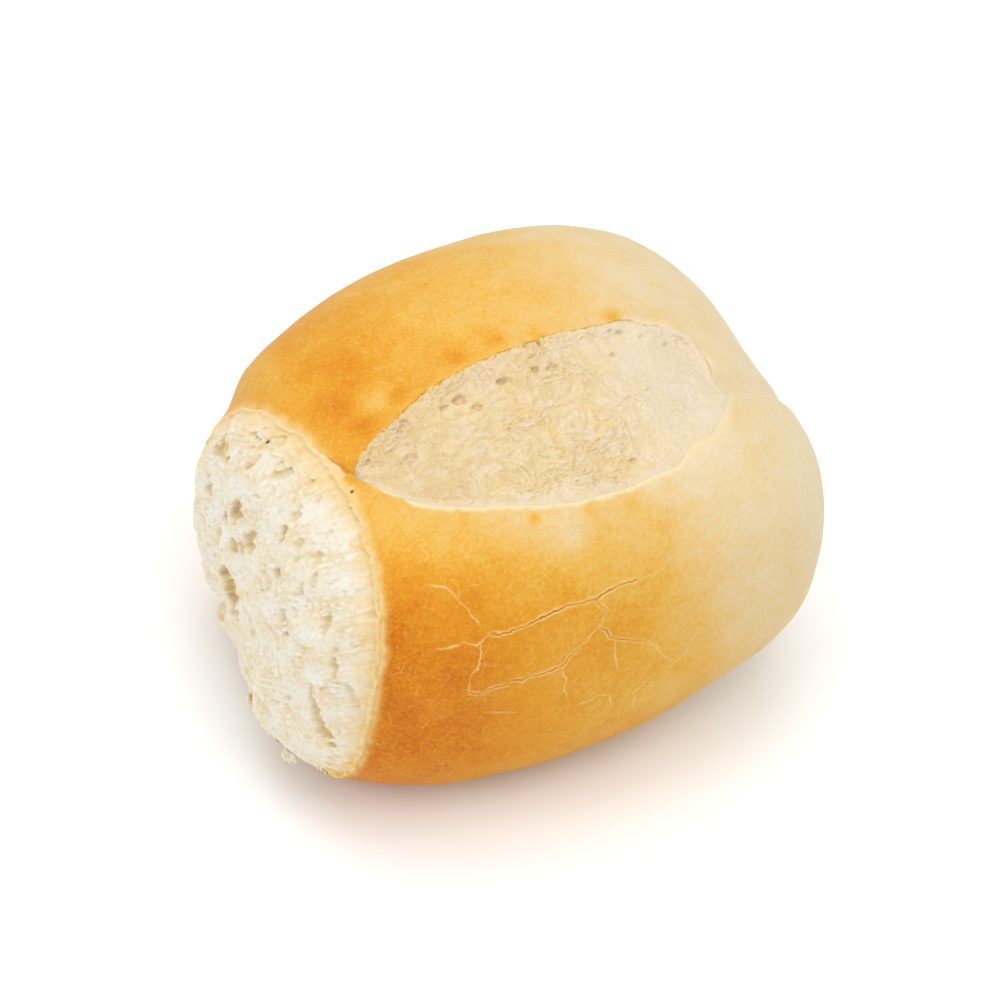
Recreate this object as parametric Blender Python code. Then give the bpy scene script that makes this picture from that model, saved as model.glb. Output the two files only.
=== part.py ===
"""A bread roll with one end torn off: one solid that lies on its flat base.

The roll is long in X, with its whole end at +X and its torn end at -X. It starts as a cube that is
rounded into a loaf, fuller towards one end than the other. A long cut over the top has opened into
a shallow dish that runs out into a crease at each tip, and the torn end is a bulging face of crumb
with a few large bubbles in it.
"""
import math

import bmesh
import bpy
from mathutils import Vector, noise

MM = 0.001  # metres in a millimetre; every length below is in millimetres

# The loaf, measured from the middle of its widest place
HALF_WIDTH = 44.7
WHOLE_REACH = 50.0  # to the tip of the whole end
TORN_REACH = 55.5  # to where the tip of the torn end was
RISE = 35.6  # from the waist to the crown
DROP = 29.7  # from the waist to the underside
BASE_CUT = 1.5  # taken off the underside by the flat tray
WAIST = DROP - BASE_CUT  # height of the waist over the base

# How full the loaf runs to each end: 2 is an ellipse, more is boxier
FULLNESS = {
    ("whole", "front"): 3.15,
    ("whole", "back"): 3.25,
    ("whole", "up"): 2.0,
    ("whole", "down"): 2.1,
    ("torn", "front"): 2.55,
    ("torn", "back"): 1.9,
    ("torn", "up"): 2.05,
    ("torn", "down"): 2.75,
}
SECTION_ABOVE = 0.81  # roundness of a slice above the waist: 1 is an ellipse, less is boxier
SECTION_BELOW = 0.70

# Where the loaf swells or sinks: a direction from the middle, and the share of its radius
SWELLINGS = (
    (Vector((0.50, 0.55, 0.65)), 0.042),
    (Vector((-0.60, 0.50, 0.60)), -0.022),
    (Vector((0.60, -0.50, -0.60)), -0.038),
    (Vector((0.60, 0.50, -0.60)), -0.025),
    (Vector((-0.60, -0.30, -0.60)), 0.017),
)
SWELLING_SPREAD = 0.18
UNEVENNESS = 0.35  # soft hills of the baked surface
HILL_LENGTH = 15.0

# The opened cut, on a plane through the long axis that leans to the front
CUT_LEAN = math.radians(22)
CUT_START = -31.0  # X of its tip by the torn end
CUT_END = 33.0  # X of its blunt end
CUT_HALF_WIDTH = 15.4
CUT_TIP_FORWARD = 0.3  # how far in front of the plane its tips lie
CUT_BOW = 4.1  # how much further forward its middle runs
CUT_SHARPNESS = 0.60  # how slowly it widens from the tip
CUT_BLUNTNESS = 0.42  # how slowly it narrows to the blunt end
DISH_DEPTH = 1.4
LIP_RUN = 2.0  # width of the steep step under the back lip
END_RUN = 4.0  # length of the slope up to each tip
FRONT_RUN = 7.0  # width of the soft slope up to the front edge
LIP_HEIGHT = 0.5  # how far the crust stands up beside the cut
LIP_SPREAD = 4.0
CREASE_DEPTH = 1.8
TORN_CREASE_SHARE = 0.55  # how deep the crease at the torn end is, as a share of that
CREASE_HALF_WIDTH = 2.2
CREASE_RUN = 4.0  # over which it deepens and dies out by the torn end
TORN_CREASE_SLOPE = 1.5  # how it turns to the back on its way to the torn face
WHOLE_CREASE_FORWARD = 3.8
CREASE_FADE = math.radians(45)  # how far it runs over the whole end

# The torn face, over the slice's own half width and half height
TEAR_X = -39.1
TEAR_SCALE_Y = 40.0
TEAR_SCALE_Z = 30.0
TEAR_MIDDLE_Z = 30.0
TEAR_TURN = -1.2  # how far its back edge reaches past its middle
TEAR_TILT = 3.4  # how far its top edge is set back
TEAR_SADDLE = -1.5
TEAR_TWIST = -2.4
TEAR_RIPPLE = -1.1
TEAR_BULGE = 7.2  # how far the crumb sprang out
BULGE_LEAN = -0.33  # how much less it did so towards the back
BULGE_SQUARENESS = 5.0
RIM_SHARE = 0.95  # how far out in its slice the crumb starts, inside the crust's broken edge
CRUMB_LUMPS = 1.3  # height of its uneven lumps
LUMP_LENGTH = 6.0

# Large bubbles in the torn face: Y, Z, half width, half height, depth
BUBBLES = (
    (13.0, 38.5, 2.2, 3.6, 1.8),
    (11.5, 46.0, 2.6, 1.9, 1.5),
    (0.5, 41.0, 2.6, 4.2, 2.4),
    (-3.5, 37.0, 2.0, 3.0, 1.8),
    (3.0, 27.0, 2.6, 5.2, 2.6),
    (-11.0, 37.0, 1.8, 3.2, 1.4),
    (-12.0, 47.5, 1.8, 2.6, 1.4),
    (-31.0, 25.0, 1.5, 5.0, 1.2),
)

CUBE_CUTS = 79  # edge loops over each side of the starting cube
TEAR_CUTS = 79  # edge loops over the cutter's face
TRIANGLES = 9600


def signed_power(value, exponent):
    return math.copysign(abs(value) ** exponent, value)


def smooth(value):
    """A soft step from 0 to 1."""
    value = min(max(value, 0.0), 1.0)
    return value * value * (3.0 - 2.0 * value)


def fullness(along, side, up):
    """The loaf's power in a direction, blended round the slice."""
    end = "whole" if along > 0 else "torn"
    level = FULLNESS[end, "back" if side > 0 else "front"]
    upright = FULLNESS[end, "up" if up > 0 else "down"]
    share = side * side / max(side * side + up * up, 1e-12)
    return level * share + upright * (1.0 - share)


def swelling(direction):
    """How far the loaf swells in a direction, as a factor on its radius."""
    factor = 1.0
    for towards, share in SWELLINGS:
        nearness = direction.normalized().dot(towards.normalized())
        factor += share * math.exp(-(1.0 - nearness) / SWELLING_SPREAD)
    return factor


def loaf_point(direction):
    """The place on the loaf, with its height over the base, in a direction of the unit sphere."""
    along, side, up = direction
    across = math.hypot(side, up)
    power = fullness(along, side, up)
    scale = (abs(along) ** power + across ** power) ** (-1.0 / power)
    section = SECTION_ABOVE if up > 0 else SECTION_BELOW
    reach = along * scale
    half_width = half_height = 0.0
    if across > 0:
        half_width = across * scale * signed_power(side / across, section)
        half_height = across * scale * signed_power(up / across, section)
    shape = Vector((reach, half_width, half_height))
    shape *= swelling(shape)
    x = shape.x * (WHOLE_REACH if along > 0 else TORN_REACH)
    z = shape.z * (RISE if up > 0 else DROP)
    return Vector((x, shape.y * HALF_WIDTH, z + WAIST))


def cut_place(point):
    """Height over the long axis in the cut's plane, and distance to the front of that plane."""
    up = point.z - WAIST
    height = up * math.cos(CUT_LEAN) - point.y * math.sin(CUT_LEAN)
    forward = -point.y * math.cos(CUT_LEAN) - up * math.sin(CUT_LEAN)
    return height, forward


def cut_half_width(share):
    """Half the width of the opened cut, at a share of its length."""
    widest = CUT_SHARPNESS / (CUT_SHARPNESS + CUT_BLUNTNESS)
    most = widest ** CUT_SHARPNESS * (1.0 - widest) ** CUT_BLUNTNESS
    return CUT_HALF_WIDTH * share ** CUT_SHARPNESS * (1.0 - share) ** CUT_BLUNTNESS / most


def cut_middle(share):
    """How far in front of its plane the cut's middle line runs, at a share of its length."""
    return CUT_TIP_FORWARD + CUT_BOW * 4.0 * share * (1.0 - share)


def dish(point):
    """How deep the opened cut lies under the loaf's surface, and how high its lips stand."""
    height, forward = cut_place(point)
    share = (point.x - CUT_START) / (CUT_END - CUT_START)
    if height < 0 or not 0.0 < share < 1.0:
        return 0.0
    half = cut_half_width(share)
    from_back = forward - cut_middle(share) + half
    from_front = 2.0 * half - from_back
    outside = max(-from_back, -from_front, 0.0)
    near_tip = smooth(min(point.x - CUT_START, CUT_END - point.x) / END_RUN)
    lip = LIP_HEIGHT * math.exp(-(outside / LIP_SPREAD) ** 2)
    depth = smooth(from_back / LIP_RUN) * smooth(from_front / FRONT_RUN)
    return ((DISH_DEPTH + LIP_HEIGHT) * depth - lip) * near_tip


def crease(point):
    """How deep the closed ends of the cut are drawn in."""
    height, forward = cut_place(point)
    to_tip = min(point.x - CUT_START, CUT_END - point.x)
    if to_tip > CREASE_RUN or height < 0:
        return 0.0
    run = smooth((CREASE_RUN - to_tip) / CREASE_RUN)
    if point.x < 0:
        run *= TORN_CREASE_SHARE * smooth(1.25 + to_tip / CREASE_RUN)
        line = CUT_TIP_FORWARD + TORN_CREASE_SLOPE * min(to_tip, 0.0)
    else:
        run *= smooth(math.atan2(height, point.x) / CREASE_FADE)
        line = WHOLE_CREASE_FORWARD
    return CREASE_DEPTH * run * math.exp(-((forward - line) / CREASE_HALF_WIDTH) ** 2)


def hills(point):
    return UNEVENNESS * noise.noise(point / HILL_LENGTH)


def slice_share(point):
    """How far out a place lies in its slice of the loaf: 0 on the axis and 1 in the crust."""
    up = point.z - WAIST
    wide = abs(point.y) / HALF_WIDTH
    high = abs(up) / (RISE if up > 0 else DROP)
    section = SECTION_ABOVE if up > 0 else SECTION_BELOW
    side = wide ** (1.0 / section)
    rise = high ** (1.0 / section)
    out = math.hypot(side, rise) ** section
    power = fullness(point.x, math.copysign(side, point.y), math.copysign(rise, up))
    reach = min(abs(point.x) / (WHOLE_REACH if point.x > 0 else TORN_REACH), 1.0)
    return out / max((1.0 - reach ** power) ** (1.0 / power), 1e-6)


def tear_x(y, z):
    """X of the torn face at a place in the slice."""
    u = y / TEAR_SCALE_Y
    v = (z - TEAR_MIDDLE_Z) / TEAR_SCALE_Z
    x = TEAR_X + TEAR_TURN * u + TEAR_TILT * v
    x += TEAR_SADDLE * (u * u - v * v) + TEAR_TWIST * 2.0 * u * v
    x += TEAR_RIPPLE * (3.0 * u * u * v - v ** 3)
    out = slice_share(Vector((x, y, z))) / RIM_SHARE
    inside = max(1.0 - out ** BULGE_SQUARENESS, 0.0)
    x -= TEAR_BULGE * (1.0 + BULGE_LEAN * u) * inside
    x += CRUMB_LUMPS * inside * noise.noise(Vector((7.0, y, z)) / LUMP_LENGTH)
    for middle_y, middle_z, half_width, half_height, depth in BUBBLES:
        away = math.hypot((y - middle_y) / half_width, (z - middle_z) / half_height)
        x += depth * smooth(1.5 - away)
    return x


def object_from(mesh_maker, name, collection):
    """A new object whose mesh is filled in by a function that is given a bmesh."""
    mesh = bpy.data.meshes.new(name)
    shape = bmesh.new()
    mesh_maker(shape)
    shape.to_mesh(mesh)
    shape.free()
    thing = bpy.data.objects.new(name, mesh)
    collection.objects.link(thing)
    return thing


def make_loaf(shape):
    """A cube with a fine grid on each side, rounded into the loaf and pressed in along the cut."""
    bmesh.ops.create_cube(shape, size=2.0)
    bmesh.ops.subdivide_edges(shape, edges=shape.edges[:], cuts=CUBE_CUTS, use_grid_fill=True)
    for vert in shape.verts:
        spread = Vector([math.tan(c * math.pi / 4.0) for c in vert.co])
        vert.co = loaf_point(spread.normalized())
    shape.normal_update()
    inward = {vert: -(dish(vert.co) + crease(vert.co)) + hills(vert.co) for vert in shape.verts}
    moved = {vert: vert.co + vert.normal * inward[vert] for vert in shape.verts}
    for vert, place in moved.items():
        vert.co = place * MM


def make_tear_cutter(shape):
    """A block that covers the torn end, with the torn face on its inner side."""
    bmesh.ops.create_cube(shape, size=1.0)
    depth, width, height = 40.0, 2.4 * HALF_WIDTH, 80.0
    for vert in shape.verts:
        vert.co.x = TEAR_X + (vert.co.x - 0.5) * depth
        vert.co.y *= width
        vert.co.z = TEAR_MIDDLE_Z + vert.co.z * height
    inner = [face for face in shape.faces if face.normal.x > 0.9]
    bmesh.ops.subdivide_edges(shape, edges=inner[0].edges[:], cuts=TEAR_CUTS, use_grid_fill=True)
    for vert in shape.verts:
        if vert.co.x > TEAR_X - 0.5 * depth:
            vert.co.x = tear_x(vert.co.y, vert.co.z)
        vert.co *= MM


def make_base_cutter(shape):
    """A block whose top is the tray's flat surface."""
    bmesh.ops.create_cube(shape, size=1.0)
    for vert in shape.verts:
        vert.co = Vector((vert.co.x * 200.0, vert.co.y * 200.0, (vert.co.z - 0.5) * 20.0)) * MM


def cut_away(thing, cutter):
    cutter.hide_render = True
    cutter.display_type = "WIRE"
    modifier = thing.modifiers.new(cutter.name, "BOOLEAN")
    modifier.operation = "DIFFERENCE"
    modifier.solver = "EXACT"
    modifier.object = cutter


def evaluated_mesh(thing):
    """The object's mesh with its modifiers worked in."""
    graph = bpy.context.evaluated_depsgraph_get()
    return bpy.data.meshes.new_from_object(thing.evaluated_get(graph))


def thin_out(thing, triangles):
    """Triangulate the mesh and merge its least needed edges, down to a number of triangles."""
    shape = bmesh.new()
    shape.from_mesh(thing.data)
    bmesh.ops.triangulate(shape, faces=shape.faces[:])
    shape.to_mesh(thing.data)
    count = len(shape.faces)
    shape.free()
    modifier = thing.modifiers.new("thin out", "DECIMATE")
    modifier.ratio = triangles / count


def seat(thing):
    """Put the middle of the roll's box over the origin, and its flat base exactly at Z = 0."""
    places = [vert.co.copy() for vert in thing.data.vertices]
    lows = [min(place[axis] for place in places) for axis in range(3)]
    highs = [max(place[axis] for place in places) for axis in range(3)]
    middle = Vector(((lows[0] + highs[0]) / 2.0, (lows[1] + highs[1]) / 2.0, lows[2]))
    for vert in thing.data.vertices:
        vert.co -= middle
        if vert.co.z < 0.02 * MM:
            vert.co.z = 0.0


def crust_material():
    """Baked crust: golden brown, dry, with a slight sheen."""
    material = bpy.data.materials.new("crust")
    material.use_nodes = True
    shader = material.node_tree.nodes["Principled BSDF"]
    shader.inputs["Base Color"].default_value = (0.62, 0.30, 0.075, 1.0)
    shader.inputs["Roughness"].default_value = 0.55
    shader.inputs["Metallic"].default_value = 0.0
    return material


def build():
    for thing in list(bpy.data.objects):
        bpy.data.objects.remove(thing, do_unlink=True)
    parts = bpy.data.collections.new("bread roll")
    cutters = bpy.data.collections.new("cutters")
    for collection in (parts, cutters):
        bpy.context.scene.collection.children.link(collection)

    roll = object_from(make_loaf, "roll", parts)
    cut_away(roll, object_from(make_tear_cutter, "tear", cutters))
    cut_away(roll, object_from(make_base_cutter, "tray", cutters))
    whole_mesh = evaluated_mesh(roll)
    roll.modifiers.clear()
    roll.data = whole_mesh
    thin_out(roll, TRIANGLES)
    thinned_mesh = evaluated_mesh(roll)
    roll.modifiers.clear()
    roll.data = thinned_mesh
    seat(roll)
    roll.data.materials.append(crust_material())
    roll.data.shade_smooth()
    roll.data.set_sharp_from_angle(angle=math.radians(40))


build()
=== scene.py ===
# %% [markdown]
# # A bread roll with one end torn off
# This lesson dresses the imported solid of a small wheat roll. The solid is hidden behind pieces that
# stand for it: the baked crust, the crumb of the torn end, the crumb in the opened cut, and loose
# flakes of both kinds. Every length is in millimetres until it is written into a mesh.

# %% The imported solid
import math

import bmesh
import bpy
import numpy as np
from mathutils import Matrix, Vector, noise


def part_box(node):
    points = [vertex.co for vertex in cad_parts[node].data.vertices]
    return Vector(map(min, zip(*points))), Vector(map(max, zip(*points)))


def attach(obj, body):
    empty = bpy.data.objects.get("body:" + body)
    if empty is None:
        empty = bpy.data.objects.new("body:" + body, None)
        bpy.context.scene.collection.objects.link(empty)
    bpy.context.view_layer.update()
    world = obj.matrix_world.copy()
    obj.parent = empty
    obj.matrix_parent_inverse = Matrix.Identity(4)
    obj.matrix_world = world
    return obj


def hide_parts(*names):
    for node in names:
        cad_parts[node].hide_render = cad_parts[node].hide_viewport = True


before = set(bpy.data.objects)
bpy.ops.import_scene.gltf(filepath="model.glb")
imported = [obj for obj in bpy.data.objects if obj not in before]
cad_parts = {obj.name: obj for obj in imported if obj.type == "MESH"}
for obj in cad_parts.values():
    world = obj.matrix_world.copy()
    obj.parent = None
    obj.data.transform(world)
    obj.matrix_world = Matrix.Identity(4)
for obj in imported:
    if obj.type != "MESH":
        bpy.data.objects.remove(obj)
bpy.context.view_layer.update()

MM = 0.001
roll_low, roll_high = [np.array(corner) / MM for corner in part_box("roll")]
print("roll, mm:", np.round(roll_high - roll_low, 1))

# %% [markdown]
# ## The camera
# A long lens from well above shows the cut, the torn end and the near side together. It looks at a
# place inside the roll, and a camera that is turned by two angles alone keeps the horizon level.

# %% The camera
VIEW_RISE = math.radians(43)
VIEW_TURN = math.radians(-25.3)
VIEW_DISTANCE = 600
LENS = 131.1
SENSOR_WIDTH = 36
FRAME_SHIFT = (0.0004, -0.0044)
AIM = np.array([-0.5, 0.0, 30.0])


def direction(turn, rise):
    """From the aim towards what stands at a turn and a rise round the roll."""
    return np.array([math.sin(turn) * math.cos(rise),
                     -math.cos(turn) * math.cos(rise),
                     math.sin(rise)])


bpy.ops.object.camera_add(location=(AIM + direction(VIEW_TURN, VIEW_RISE) * VIEW_DISTANCE) * MM,
                          rotation=(math.pi / 2 - VIEW_RISE, 0, VIEW_TURN))
camera = bpy.context.object
camera.data.lens = LENS
camera.data.sensor_width = SENSOR_WIDTH
camera.data.shift_x, camera.data.shift_y = FRAME_SHIFT
camera.data.clip_start = 0.01
bpy.context.scene.camera = camera
print("camera at, mm:", np.round(np.array(camera.location) / MM))

# %% [markdown]
# ## Soft studio light on a white floor
# A white world lights the bread from all round, a wide lamp above and behind adds a soft direction,
# and two more fill in the left and the front. The floor is a plain sheet that fills the view.

# %% Light and floor
WORLD_STRENGTH = 0.60
FLOOR_SIDE = 6.0  # metres
PAPER_WHITE = 0.9
LAMPS = {  # turn and rise in degrees, distance, size, power in watts
    "soft_box": (160, 74, 900, 900, 4.6),
    "left_fill": (-80, 32, 900, 600, 2.6),
    "front_fill": (25, 50, 1100, 800, 5.0),
}

scene = bpy.context.scene
scene.view_settings.view_transform = "Standard"
scene.world = bpy.data.worlds.new("studio")
scene.world.use_nodes = True
sky = scene.world.node_tree.nodes["Background"]
sky.inputs["Color"].default_value = (1, 1, 1, 1)
sky.inputs["Strength"].default_value = WORLD_STRENGTH
for name, (turn, rise, distance, size, power) in LAMPS.items():
    turn, rise = math.radians(turn), math.radians(rise)
    bpy.ops.object.light_add(type="AREA", location=(AIM + direction(turn, rise) * distance) * MM,
                             rotation=(math.pi / 2 - rise, 0, turn))
    lamp = bpy.context.object
    lamp.name = name
    lamp.data.size = size * MM
    lamp.data.energy = power

bpy.ops.mesh.primitive_plane_add(size=FLOOR_SIDE)
floor = bpy.context.object
floor.name = "floor"
paper = bpy.data.materials.new("white_paper")
paper.use_nodes = True
paper_shader = paper.node_tree.nodes["Principled BSDF"]
paper_shader.inputs["Base Color"].default_value = (PAPER_WHITE, PAPER_WHITE, PAPER_WHITE, 1)
paper_shader.inputs["Roughness"].default_value = 0.9
floor.data.materials.append(paper)
print("floor, m:", tuple(round(side, 1) for side in floor.dimensions))

# %% [markdown]
# ## The loaf's form in numbers
# A loaf is a ball that has been pressed and stretched. Each direction from its middle meets the
# skin once, so one function gives the skin's place for any direction. It holds the same driving
# sizes as the solid, so that what is made from it lies on the solid's surface.

# %% The loaf's form
HALF_WIDTH = 44.7
WHOLE_REACH = 50.0
TORN_REACH = 55.5
RISE = 35.6
DROP = 29.7
WAIST = DROP - 1.5
FULL_WHOLE = {"front": 3.15, "back": 3.25, "up": 2.0, "down": 2.1}
FULL_TORN = {"front": 2.55, "back": 1.9, "up": 2.05, "down": 2.75}
SECTION_ABOVE = 0.81
SECTION_BELOW = 0.70
SWELLINGS = (
    ((0.50, 0.55, 0.65), 0.042),
    ((-0.60, 0.50, 0.60), -0.022),
    ((0.60, -0.50, -0.60), -0.038),
    ((0.60, 0.50, -0.60), -0.025),
    ((-0.60, -0.30, -0.60), 0.017),
)
SWELLING_SPREAD = 0.18


def signed_power(value, exponent):
    return np.copysign(np.abs(value) ** exponent, value)


def smooth(value):
    """A soft step from 0 to 1."""
    value = np.clip(value, 0.0, 1.0)
    return value * value * (3.0 - 2.0 * value)


def bell(value, middle, spread):
    """A soft hump that is 1 at its middle."""
    return np.exp(-((value - middle) / spread) ** 2)


def fullness(along, side, up):
    """How boxy the loaf is in a direction: 2 is an ellipse."""
    def pick(key_over, key_under, over):
        return np.where(along > 0, np.where(over, FULL_WHOLE[key_over], FULL_WHOLE[key_under]),
                        np.where(over, FULL_TORN[key_over], FULL_TORN[key_under]))
    share = side * side / np.maximum(side * side + up * up, 1e-12)
    return pick("back", "front", side > 0) * share + pick("up", "down", up > 0) * (1 - share)


def swelling(shape):
    """How far the loaf swells in a direction, as a factor on its radius."""
    unit = shape / np.linalg.norm(shape, axis=1, keepdims=True)
    factor = np.ones(len(shape))
    for towards, share in SWELLINGS:
        nearness = unit @ (np.array(towards) / np.linalg.norm(towards))
        factor += share * np.exp(-(1.0 - nearness) / SWELLING_SPREAD)
    return factor


def loaf_places(directions):
    """The places where directions from the middle meet the skin."""
    along, side, up = (directions / np.linalg.norm(directions, axis=1, keepdims=True)).T
    across = np.maximum(np.hypot(side, up), 1e-9)
    power = fullness(along, side, up)
    scale = (np.abs(along) ** power + across ** power) ** (-1.0 / power)
    section = np.where(up > 0, SECTION_ABOVE, SECTION_BELOW)
    shape = np.stack([along * scale,
                      across * scale * signed_power(side / across, section),
                      across * scale * signed_power(up / across, section)], axis=1)
    shape *= swelling(shape)[:, None]
    x = shape[:, 0] * np.where(along > 0, WHOLE_REACH, TORN_REACH)
    z = shape[:, 2] * np.where(up > 0, RISE, DROP)
    return np.stack([x, shape[:, 1] * HALF_WIDTH, z + WAIST], axis=1)


def loaf_share(places):
    """How far out places lie between the long axis and the skin, which is at 1."""
    x, y, up = places[:, 0], places[:, 1], places[:, 2] - WAIST
    shape = np.stack([x / np.where(x > 0, WHOLE_REACH, TORN_REACH), y / HALF_WIDTH,
                      up / np.where(up > 0, RISE, DROP)], axis=1)
    shape /= swelling(shape)[:, None]
    section = np.where(up > 0, SECTION_ABOVE, SECTION_BELOW)
    side = signed_power(shape[:, 1], 1 / section)
    rise = signed_power(shape[:, 2], 1 / section)
    across = np.hypot(side, rise) ** section
    power = fullness(x, side, rise)
    return (np.abs(shape[:, 0]) ** power + across ** power) ** (1 / power)


test = loaf_places(np.array([[1.0, 0.2, 0.4], [-0.3, -0.8, 0.5]]))
print("on the skin:", np.round(test, 1).tolist(), np.round(loaf_share(test), 3))

# %% [markdown]
# ## The cut in numbers
# The baker's cut lies on a plane through the long axis that leans to the front. In that plane a
# place has a height over the axis and a distance forward, so the opened cut is a leaf shape there.
# Dough doesn't open cleanly, so smooth noise lets the outline drift, most at its blunt end.

# %% The cut's form
CUT_LEAN = math.radians(22)
CUT_START = -31.0
CUT_END = 33.0
CUT_HALF_WIDTH = 15.4
CUT_TIP_FORWARD = 0.3
CUT_BOW = 4.1
CUT_SWING = 1.4
CUT_PINCH = 0.45
PINCH_RUN = 0.04
CUT_SHARPNESS = 0.60
CUT_BLUNTNESS = 0.42
DISH_DEPTH = 1.4
FRONT_RUN = 7.0
END_RUN = 4.0
LIP_HEIGHT = 0.35
LIP_SPREAD = 4.0
DRIFT_LENGTH = 4.5
DRIFT_LEAST = 0.25
DRIFT_GROWTH = 0.9


def wander(places, length, seed=0.0):
    """Smooth noise, about -1 to 1, that changes over a length."""
    return np.array([noise.noise(place) for place in (places / length + seed).tolist()])


def waves(places, *layers):
    """The sum of smooth noises, each given by its height, length and seed."""
    return sum(height * wander(places, length, seed) for height, length, seed in layers)


def cut_place(places):
    """Height over the long axis in the cut's plane, and distance to the front of that plane."""
    up = places[:, 2] - WAIST
    height = up * math.cos(CUT_LEAN) - places[:, 1] * math.sin(CUT_LEAN)
    forward = -places[:, 1] * math.cos(CUT_LEAN) - up * math.sin(CUT_LEAN)
    return height, forward


def from_cut_place(x, height, forward):
    """The places with an X, a height and a distance forward."""
    y = -forward * math.cos(CUT_LEAN) - height * math.sin(CUT_LEAN)
    up = height * math.cos(CUT_LEAN) - forward * math.sin(CUT_LEAN)
    return np.stack([x, y, up + WAIST], axis=1)


def cut_drift(x, forward):
    """How far the cut's outline wanders in X and forwards at a place."""
    flat = np.column_stack([x, forward, np.zeros(len(x))])
    reach = DRIFT_LEAST + DRIFT_GROWTH * smooth((x - 8) / 14)
    return np.stack([wander(flat, DRIFT_LENGTH, seed) for seed in (71.0, 83.0)]) * reach


def cut_half_width(share):
    widest = CUT_SHARPNESS / (CUT_SHARPNESS + CUT_BLUNTNESS)
    most = widest ** CUT_SHARPNESS * (1.0 - widest) ** CUT_BLUNTNESS
    share = np.clip(share, 0.0, 1.0)
    half = CUT_HALF_WIDTH * share ** CUT_SHARPNESS * (1.0 - share) ** CUT_BLUNTNESS / most
    return half * (1.0 - CUT_PINCH * np.exp(-share / PINCH_RUN))


def cut_middle(share):
    swing = CUT_SWING * bell(share, 0.12, 0.10)
    return CUT_TIP_FORWARD + CUT_BOW * 4.0 * share * (1.0 - share) + swing


def skin_height(x, forward):
    """Height of the smooth loaf's skin over the long axis in the cut's plane, by halving."""
    under, over = np.zeros_like(x), np.full_like(x, 60.0)
    for _ in range(26):
        middle = (under + over) / 2
        inside = loaf_share(from_cut_place(x, middle, forward)) < 1
        under = np.where(inside, middle, under)
        over = np.where(inside, over, middle)
    return under


print("cut, mm:", CUT_END - CUT_START, "x", round(2 * CUT_HALF_WIDTH, 1))

# %% [markdown]
# ## The tear in numbers
# The crust broke along a wavy sheet across the loaf, and the torn face bulges out of that sheet
# where the soft crumb sprang out. A few powers of Y and Z bend the sheet. At its upper back the
# torn end is nipped: the skin there was pulled in towards the long axis as the rolls parted.

# %% The tear's form
TEAR_HALF_WIDTH = 40.0
TEAR_HALF_HEIGHT = 30.0
SLICE_MIDDLE = np.array([0.0, 0.0, 30.0])
TEAR_X = -39.1
TEAR_TURN = -1.2
TEAR_TILT = 3.4
TEAR_SADDLE = -1.5
TEAR_TWIST = -2.4
TEAR_RIPPLE = -1.1
TEAR_BULGE = 7.2
BULGE_LEAN = -0.33
BULGE_SQUARENESS = 5.0
NIP_SHARE = 0.07
NIP_TURN = math.radians(33)
NIP_SPREAD = math.radians(22)
NIP_START = -32
NIP_RUN = 5


def broken_edge_x(y, z):
    """X of the sheet in which the crust broke."""
    u = y / TEAR_HALF_WIDTH
    v = (z - SLICE_MIDDLE[2]) / TEAR_HALF_HEIGHT
    x = TEAR_X + TEAR_TURN * u + TEAR_TILT * v
    x = x + TEAR_SADDLE * (u * u - v * v) + TEAR_TWIST * 2.0 * u * v
    return x + TEAR_RIPPLE * (3.0 * u * u * v - v ** 3)


def nipped(places):
    """Places drawn in towards the long axis at the upper back of the torn end."""
    y, up = places[:, 1], places[:, 2] - WAIST
    near = bell(np.arctan2(up, y), NIP_TURN, NIP_SPREAD) * smooth((NIP_START - places[:, 0]) / NIP_RUN)
    factor = 1 - NIP_SHARE * near
    return np.column_stack([places[:, 0], y * factor, WAIST + up * factor])


print("broken edge at the crown, mm:", round(float(broken_edge_x(0.0, 60.0)), 1))

# %% [markdown]
# ## Helpers for meshes
# Moving thousands of corners one at a time is slow, so these helpers read all places of a mesh into
# one numpy array and write them back. Others keep painted values for the materials and wrap the
# steps of edit mode. The last one closes a shell, because only a closed one can be measured,
# exported and printed.

# %% Helpers for meshes
def read(corners, field):
    """Three numbers for each corner, as rows."""
    flat = np.empty(len(corners) * 3, np.float32)
    corners.foreach_get(field, flat)
    return flat.reshape(-1, 3).astype(float)


def read_places(thing):
    return read(thing.data.vertices, "co") / MM


def write_places(thing, places):
    thing.data.vertices.foreach_set("co", (places * MM).astype(np.float32).ravel())
    thing.data.update()


def paint(thing, name, values):
    """Keep a value for each vertex, which a material can read by its name."""
    layer = thing.data.attributes.new(name, "FLOAT", "POINT")
    layer.data.foreach_set("value", np.asarray(values, np.float32))


def choose(*things):
    """Select some pieces alone, with the first one active."""
    bpy.ops.object.select_all(action="DESELECT")
    for thing in things:
        thing.select_set(True)
    bpy.context.view_layer.objects.active = things[0]


def edit(thing):
    """Open a piece in edit mode with nothing selected, and give its editable mesh."""
    choose(thing)
    bpy.ops.object.mode_set(mode="EDIT")
    bpy.ops.mesh.select_mode(type="VERT")
    bpy.ops.mesh.select_all(action="DESELECT")
    return bmesh.from_edit_mesh(thing.data)


def close_edit(thing):
    bpy.ops.object.mode_set(mode="OBJECT")
    faces = thing.data.polygons
    print(thing.name, "faces:", len(faces), "triangles:", sum(len(f.vertices) - 2 for f in faces))


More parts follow.
